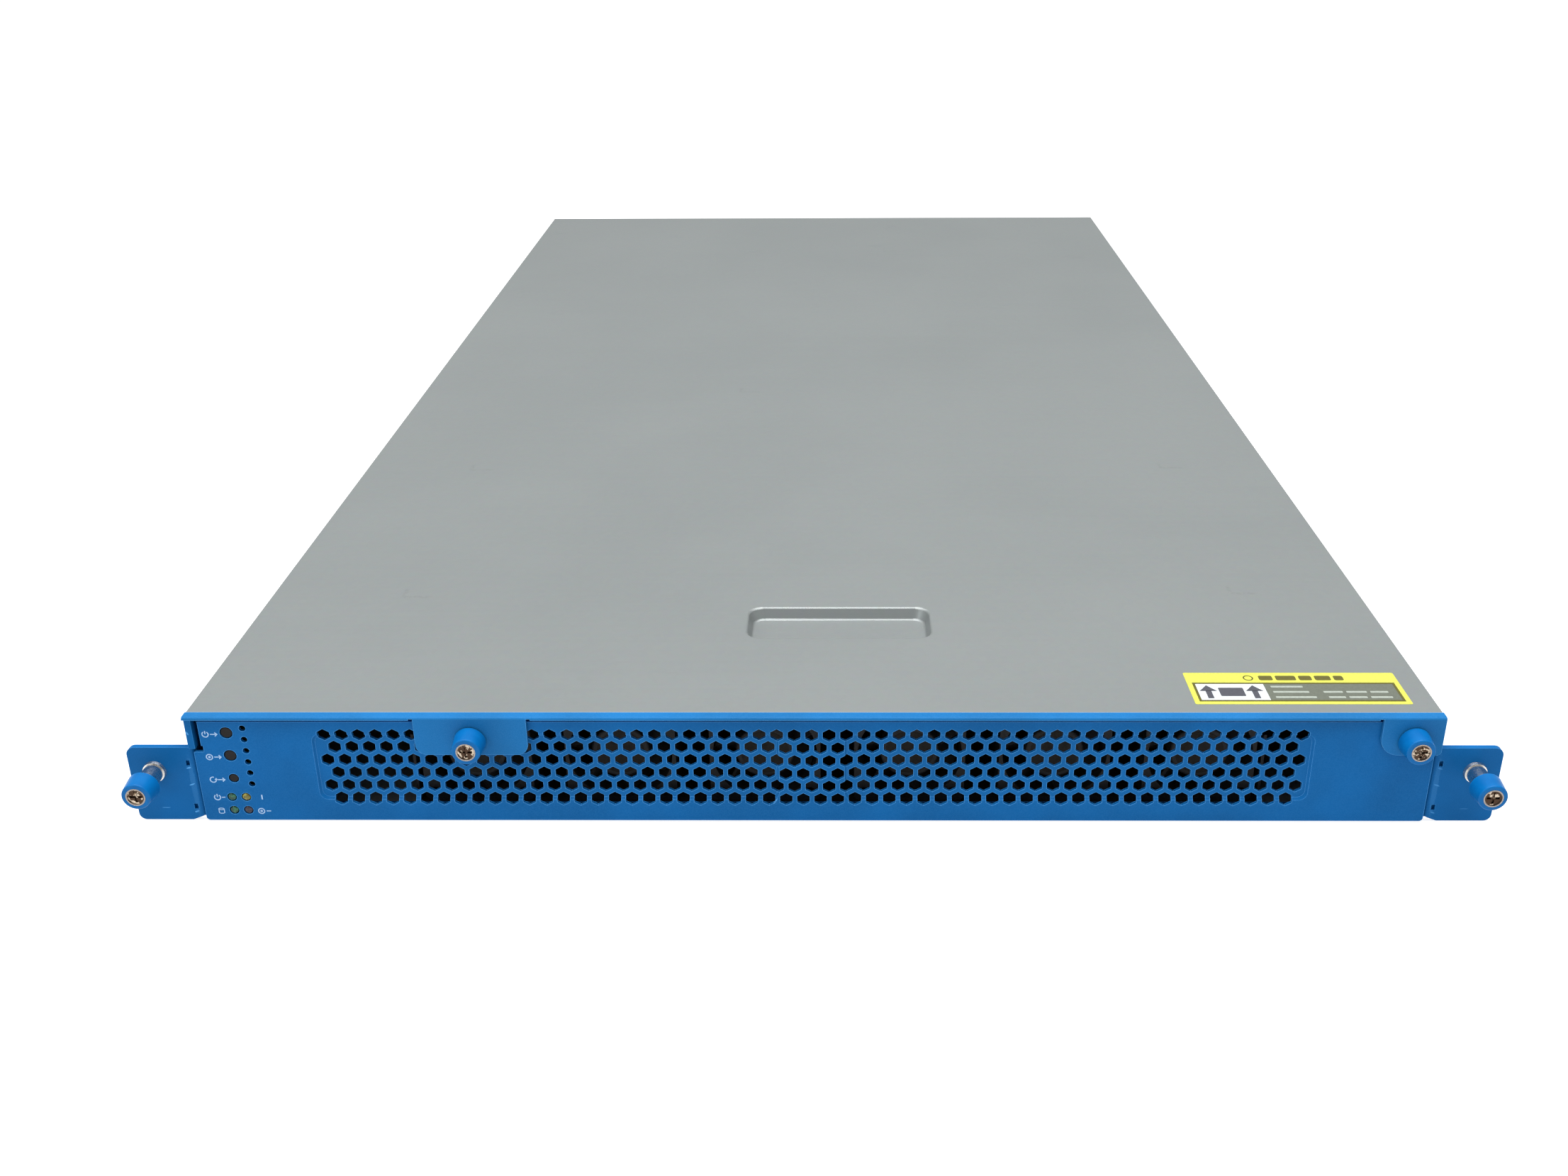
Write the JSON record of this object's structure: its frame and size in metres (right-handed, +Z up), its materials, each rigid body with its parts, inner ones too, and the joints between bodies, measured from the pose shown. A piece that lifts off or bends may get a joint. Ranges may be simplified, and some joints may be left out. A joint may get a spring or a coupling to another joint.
{
  "type": "rack firewall appliance",
  "caption": "Rack-mount network firewall in a one-unit sheet-metal case, with perforated front, captive thumbscrews, sliding cover, fan bank and pull-out power supplies.",
  "frame": {"origin": "middle of the flat underside of the case", "axes": "+X right as seen from the front, +Y from front to back, +Z up"},
  "size_m": [0.4826, 0.8117, 0.0437],
  "materials": {
    "zinc_plated_steel": "zinc-plated sheet steel, satin",
    "blue_painted_steel": "fine powder coat, satin",
    "blue_knob_plastic": "moulded, satin gloss",
    "nickel_plated_steel": "nickel plated, satin",
    "spring_steel": "drawn wire",
    "black_button_plastic": "moulded, satin",
    "black_plastic": "moulded, fine texture",
    "fan_plastic": "moulded, glass filled",
    "green_lens": "diffused lens, unlit",
    "yellow_lens": "diffused lens, unlit",
    "blue_lens": "diffused lens, unlit",
    "circuit_board": "solder resist",
    "drive_case": "cast, satin",
    "heatsink_aluminium": "extruded",
    "sticker_paper": "printed polyester film",
    "port_steel": "tin-plated shell",
    "psu_steel": "zinc-plated sheet steel",
    "latch_plastic": "moulded"
  },
  "bodies": {
    "chassis": {"chassis_tray": "zinc_plated_steel", "rear_panel": "zinc_plated_steel", "front_panel": "blue_painted_steel", "rack_ear_left": "blue_painted_steel", "rack_ear_right": "blue_painted_steel", "chassis_fasteners": "nickel_plated_steel", "ear_ferrules": "nickel_plated_steel", "control_board": "circuit_board", "button_switches": "black_plastic", "led_lenses_green": "green_lens", "led_lens_yellow": "yellow_lens", "led_lens_blue": "blue_lens", "fan_bracket": "zinc_plated_steel", "fan_frames": "fan_plastic", "main_board": "circuit_board", "board_standoffs": "nickel_plated_steel", "heatsink": "heatsink_aluminium", "memory_modules": "circuit_board", "storage_drive": "drive_case", "lan_port_block": "port_steel", "service_port_block": "port_steel", "sfp_cages": "port_steel", "psu_bay": "zinc_plated_steel"},
    "cover": {"top_cover": "zinc_plated_steel", "cover_front_rail": "blue_painted_steel", "cover_label": "sticker_paper", "cover_ferrules": "nickel_plated_steel"},
    "power_button": {"power_button": "black_button_plastic"},
    "id_button": {"id_button": "black_button_plastic"},
    "reset_button": {"reset_button": "black_button_plastic"},
    "ear_screw_left_ring": {"ear_screw_left_ring": "nickel_plated_steel", "ear_screw_left_spring": "spring_steel"},
    "ear_screw_left": {"ear_screw_left_knob": "blue_knob_plastic", "ear_screw_left_stud": "nickel_plated_steel"},
    "ear_screw_right_ring": {"ear_screw_right_ring": "nickel_plated_steel", "ear_screw_right_spring": "spring_steel"},
    "ear_screw_right": {"ear_screw_right_knob": "blue_knob_plastic", "ear_screw_right_stud": "nickel_plated_steel"},
    "cover_screw_left_ring": {"cover_screw_left_ring": "nickel_plated_steel"},
    "cover_screw_left": {"cover_screw_left_knob": "blue_knob_plastic", "cover_screw_left_stud": "nickel_plated_steel"},
    "cover_screw_right_ring": {"cover_screw_right_ring": "nickel_plated_steel"},
    "cover_screw_right": {"cover_screw_right_knob": "blue_knob_plastic", "cover_screw_right_stud": "nickel_plated_steel"},
    "fan_rotor_1": {"fan_rotor_1": "fan_plastic"},
    "fan_rotor_2": {"fan_rotor_2": "fan_plastic"},
    "fan_rotor_3": {"fan_rotor_3": "fan_plastic"},
    "fan_rotor_4": {"fan_rotor_4": "fan_plastic"},
    "fan_rotor_5": {"fan_rotor_5": "fan_plastic"},
    "fan_rotor_6": {"fan_rotor_6": "fan_plastic"},
    "psu_a": {"psu_a_housing": "psu_steel", "psu_a_inlet": "black_plastic", "psu_a_handle": "black_plastic"},
    "psu_a_latch": {"psu_a_latch": "latch_plastic"},
    "psu_a_fan_rotor": {"psu_a_fan_rotor": "fan_plastic"},
    "psu_b": {"psu_b_housing": "psu_steel", "psu_b_inlet": "black_plastic", "psu_b_handle": "black_plastic"},
    "psu_b_latch": {"psu_b_latch": "latch_plastic"},
    "psu_b_fan_rotor": {"psu_b_fan_rotor": "fan_plastic"}
  },
  "joints": [
    {"name": "cover_slide", "type": "slide", "parent": "chassis", "child": "cover", "axis": [0, -1, 0], "range_m": [0, 0.014]},
    {"name": "ear_screw_left_press", "type": "slide", "parent": "chassis", "child": "ear_screw_left_ring", "axis": [0, 1, 0], "range_m": [0, 0.0054], "stiffness_N_per_m": 300, "springref_m": -0.004, "deforming": ["ear_screw_left_spring"]},
    {"name": "ear_screw_left_turn", "type": "hinge", "parent": "ear_screw_left_ring", "child": "ear_screw_left", "pos_m": [-0.23255, -0.3875, 0.0203], "axis": [0, -1, 0], "continuous": true},
    {"name": "ear_screw_right_press", "type": "slide", "parent": "chassis", "child": "ear_screw_right_ring", "axis": [0, 1, 0], "range_m": [0, 0.0054], "stiffness_N_per_m": 300, "springref_m": -0.004, "deforming": ["ear_screw_right_spring"]},
    {"name": "ear_screw_right_turn", "type": "hinge", "parent": "ear_screw_right_ring", "child": "ear_screw_right", "pos_m": [0.23255, -0.3875, 0.0203], "axis": [0, -1, 0], "continuous": true},
    {"name": "cover_screw_left_lift", "type": "slide", "parent": "cover", "child": "cover_screw_left_ring", "axis": [0, -1, 0], "range_m": [0, 0.0021]},
    {"name": "cover_screw_left_turn", "type": "hinge", "parent": "cover_screw_left_ring", "child": "cover_screw_left", "pos_m": [-0.1188, -0.3875, 0.0343], "axis": [0, -1, 0], "range_deg": [0, 1080]},
    {"name": "cover_screw_right_lift", "type": "slide", "parent": "cover", "child": "cover_screw_right_ring", "axis": [0, -1, 0], "range_m": [0, 0.0021]},
    {"name": "cover_screw_right_turn", "type": "hinge", "parent": "cover_screw_right_ring", "child": "cover_screw_right", "pos_m": [0.2083, -0.3875, 0.0343], "axis": [0, -1, 0], "range_deg": [0, 1080]},
    {"name": "power_button_press", "type": "slide", "parent": "chassis", "child": "power_button", "axis": [0, 1, 0], "range_m": [0, 0.0008], "stiffness_N_per_m": 400, "springref_m": -0.001},
    {"name": "id_button_press", "type": "slide", "parent": "chassis", "child": "id_button", "axis": [0, 1, 0], "range_m": [0, 0.0008], "stiffness_N_per_m": 400, "springref_m": -0.001},
    {"name": "reset_button_press", "type": "slide", "parent": "chassis", "child": "reset_button", "axis": [0, 1, 0], "range_m": [0, 0.0008], "stiffness_N_per_m": 400, "springref_m": -0.001},
    {"name": "fan_rotor_1_spin", "type": "hinge", "parent": "chassis", "child": "fan_rotor_1", "pos_m": [-0.12025, -0.3675, 0.022], "axis": [0, -1, 0], "continuous": true},
    {"name": "fan_rotor_2_spin", "type": "hinge", "parent": "chassis", "child": "fan_rotor_2", "pos_m": [-0.06855, -0.3675, 0.022], "axis": [0, -1, 0], "continuous": true},
    {"name": "fan_rotor_3_spin", "type": "hinge", "parent": "chassis", "child": "fan_rotor_3", "pos_m": [-0.01685, -0.3675, 0.022], "axis": [0, -1, 0], "continuous": true},
    {"name": "fan_rotor_4_spin", "type": "hinge", "parent": "chassis", "child": "fan_rotor_4", "pos_m": [0.03485, -0.3675, 0.022], "axis": [0, -1, 0], "continuous": true},
    {"name": "fan_rotor_5_spin", "type": "hinge", "parent": "chassis", "child": "fan_rotor_5", "pos_m": [0.08655, -0.3675, 0.022], "axis": [0, -1, 0], "continuous": true},
    {"name": "fan_rotor_6_spin", "type": "hinge", "parent": "chassis", "child": "fan_rotor_6", "pos_m": [0.13825, -0.3675, 0.022], "axis": [0, -1, 0], "continuous": true},
    {"name": "psu_a_slide", "type": "slide", "parent": "chassis", "child": "psu_a", "axis": [0, 1, 0], "range_m": [0, 0.18]},
    {"name": "psu_a_latch_press", "type": "hinge", "parent": "psu_a", "child": "psu_a_latch", "pos_m": [-0.1414, 0.3775, 0.021], "axis": [0, 0, 1], "range_deg": [0, 6], "stiffness_Nm_per_rad": 0.8, "springref_deg": -2.86},
    {"name": "psu_a_fan_spin", "type": "hinge", "parent": "psu_a", "child": "psu_a_fan_rotor", "pos_m": [-0.1608, 0.3695, 0.0213], "axis": [0, 1, 0], "continuous": true},
    {"name": "psu_b_slide", "type": "slide", "parent": "chassis", "child": "psu_b", "axis": [0, 1, 0], "range_m": [0, 0.18]},
    {"name": "psu_b_latch_press", "type": "hinge", "parent": "psu_b", "child": "psu_b_latch", "pos_m": [-0.0652, 0.3775, 0.021], "axis": [0, 0, 1], "range_deg": [0, 6], "stiffness_Nm_per_rad": 0.8, "springref_deg": -2.86},
    {"name": "psu_b_fan_spin", "type": "hinge", "parent": "psu_b", "child": "psu_b_fan_rotor", "pos_m": [-0.0846, 0.3695, 0.0213], "axis": [0, 1, 0], "continuous": true}
  ],
  "couplings": [
    {"joint": "cover_screw_left_lift", "follows": "cover_screw_left_turn", "m_per_rad": 0.00011141},
    {"joint": "cover_screw_right_lift", "follows": "cover_screw_right_turn", "m_per_rad": 0.00011141}
  ]
}
